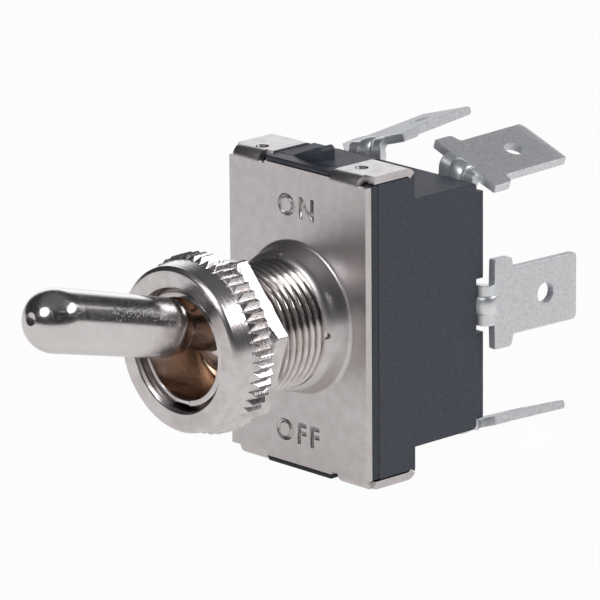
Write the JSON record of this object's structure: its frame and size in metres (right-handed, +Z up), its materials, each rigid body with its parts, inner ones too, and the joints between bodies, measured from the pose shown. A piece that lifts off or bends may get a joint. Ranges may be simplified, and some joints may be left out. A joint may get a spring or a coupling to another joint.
{
  "type": "panel toggle switch",
  "caption": "Panel-mount toggle switch: bat lever in a threaded bushing with a knurled nut and a hex nut, steel plate on a moulded case, quick-connect blades behind.",
  "frame": {"origin": "centre of the front plate's front face, on the bushing's axis", "axes": "+Z up the long axis of the case, the bushing points along -Y and the blades along +Y, +X to the right seen from the lever's side"},
  "size_m": [0.0212, 0.0578, 0.0303],
  "materials": {
    "nickel_steel": "satin nickel plate on pressed steel",
    "nickel_brass": "bright nickel plate on turned brass",
    "bright_lever": "polished nickel plate",
    "plain_brass": "plain turned brass",
    "steel_pin": "ground steel",
    "tin_plate": "matte tin plate on brass",
    "phenolic": "charcoal moulded phenolic with fine grain",
    "black_insulation": "black moulded plastic",
    "carriage_plastic": "natural moulded plastic",
    "silver_contact": "silver-faced copper",
    "spring_metal": "phosphor bronze"
  },
  "bodies": {
    "housing": {"front_plate": "nickel_steel", "threaded_bushing": "nickel_brass", "lever_pivot_pin": "steel_pin", "lever_ball_seat": "plain_brass", "front_insulator": "black_insulation", "case": "phenolic", "terminal_top_right": "tin_plate", "terminal_top_left": "tin_plate", "terminal_middle_right": "tin_plate", "terminal_middle_left": "tin_plate", "terminal_bottom_right": "tin_plate", "terminal_bottom_left": "tin_plate", "contact_stud_top_right": "silver_contact", "contact_stud_top_left": "silver_contact", "contact_stud_middle_right": "silver_contact", "contact_stud_middle_left": "silver_contact", "contact_stud_bottom_right": "silver_contact", "contact_stud_bottom_left": "silver_contact"},
    "lever": {"toggle_lever": "bright_lever"},
    "carriage": {"slide_carriage": "carriage_plastic", "bridge_contact_right": "silver_contact", "bridge_contact_left": "silver_contact", "leaf_spring_right": "spring_metal", "leaf_spring_left": "spring_metal"},
    "face_nut": {"knurled_face_nut": "nickel_brass"},
    "back_nut": {"hex_back_nut": "nickel_brass"}
  },
  "joints": [
    {"name": "lever_tilt", "type": "hinge", "parent": "housing", "child": "lever", "pos_m": [0, -0.007, 0], "axis": [1, 0, 0], "range_deg": [0, 28.8]},
    {"name": "carriage_slide", "type": "slide", "parent": "housing", "child": "carriage", "axis": [0, 0, 1], "range_m": [0, 0.00746]},
    {"name": "face_nut_turn", "type": "hinge", "parent": "housing", "child": "face_nut", "pos_m": [0, -0.0127, 0], "axis": [0, 1, 0], "continuous": true},
    {"name": "back_nut_turn", "type": "hinge", "parent": "housing", "child": "back_nut", "pos_m": [0, -0.00955, 0], "axis": [0, 1, 0], "continuous": true}
  ],
  "couplings": [
    {"joint": "lever_tilt", "follows": "carriage_slide", "rad_per_m": 67.373}
  ]
}
